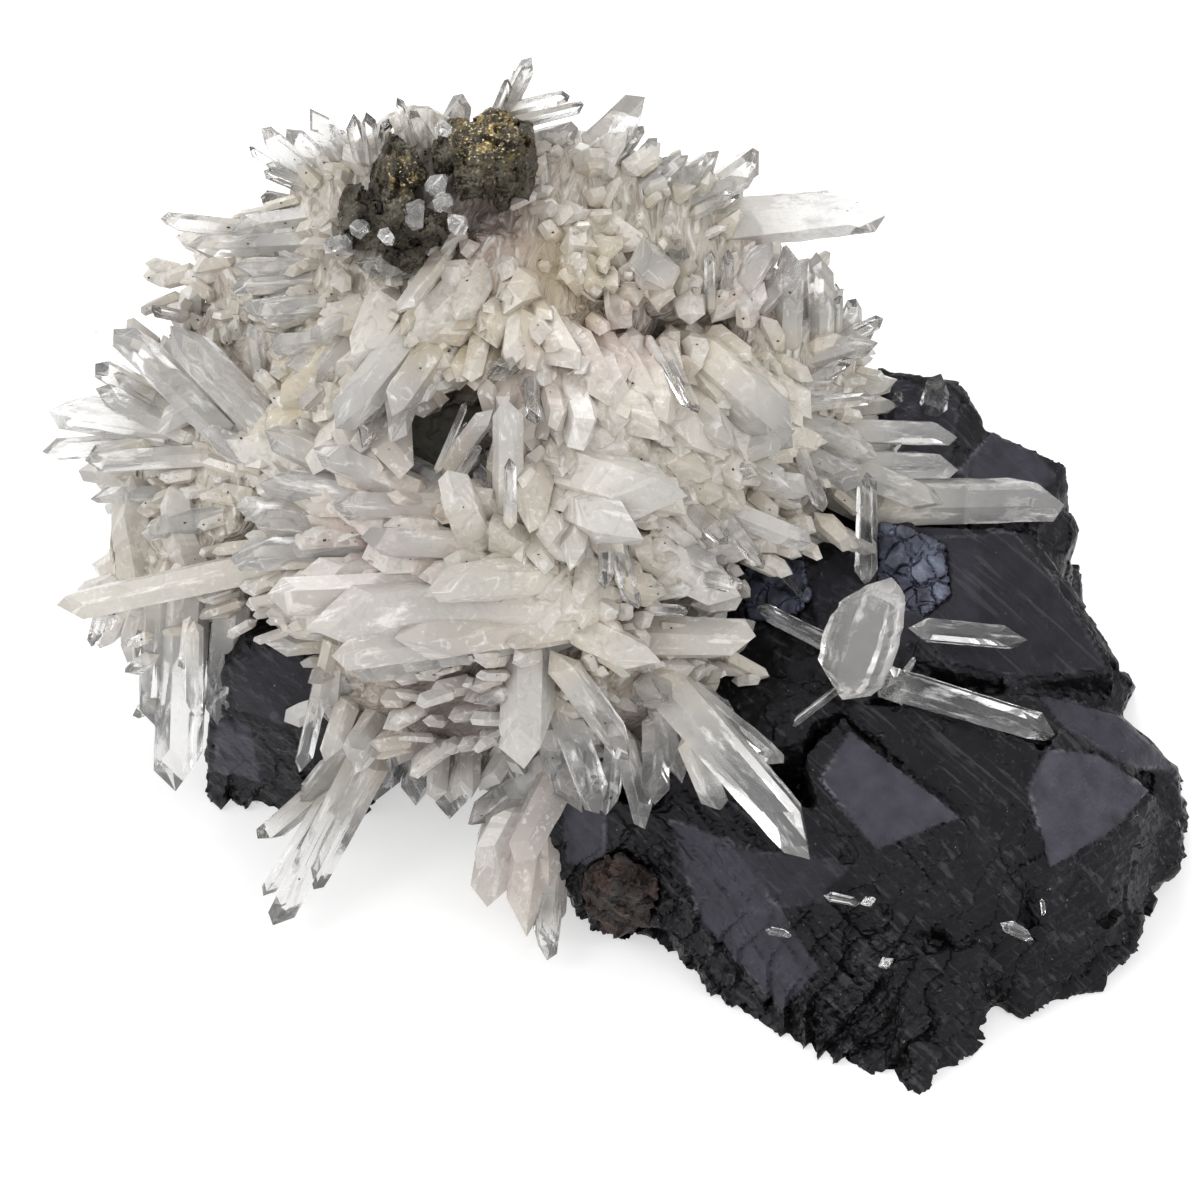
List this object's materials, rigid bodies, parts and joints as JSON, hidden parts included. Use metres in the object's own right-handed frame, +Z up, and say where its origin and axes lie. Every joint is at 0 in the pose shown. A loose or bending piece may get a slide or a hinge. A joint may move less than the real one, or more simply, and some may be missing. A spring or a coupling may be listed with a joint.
{
  "type": "mineral specimen",
  "caption": "Black sphalerite matrix with a burst of milky to clear quartz points, small pyrite clumps on the crown and galena patches; free-standing on its cut base.",
  "frame": {"origin": "middle of the bounding box, on the cut base", "axes": "+X to the right along the longest extent, +Y away from the front, +Z up from the cut base"},
  "size_m": [0.1166, 0.083, 0.0698],
  "materials": {
    "sphalerite": "black, submetallic, purple-grey sheen on flat faces",
    "milky_quartz": "glassy, milky cream to clear",
    "clear_quartz": "glassy, clear with milky roots",
    "pyrite": "metallic, tarnished brown with golden glints",
    "galena": "metallic blue-grey, cracked into blocks",
    "weathered_pyrite": "dull brown, rough"
  },
  "bodies": {
    "root": {"sphalerite_matrix": "sphalerite", "quartz_cluster": "milky_quartz", "quartz_group": "clear_quartz", "quartz_point_slab": "clear_quartz", "quartz_point_upright": "clear_quartz", "quartz_point_ridge": "clear_quartz", "quartz_point_ridge_small": "clear_quartz", "pyrite_right": "pyrite", "pyrite_left": "pyrite", "galena_right": "galena", "galena_left": "galena", "weathered_pyrite": "weathered_pyrite"}
  },
  "joints": []
}
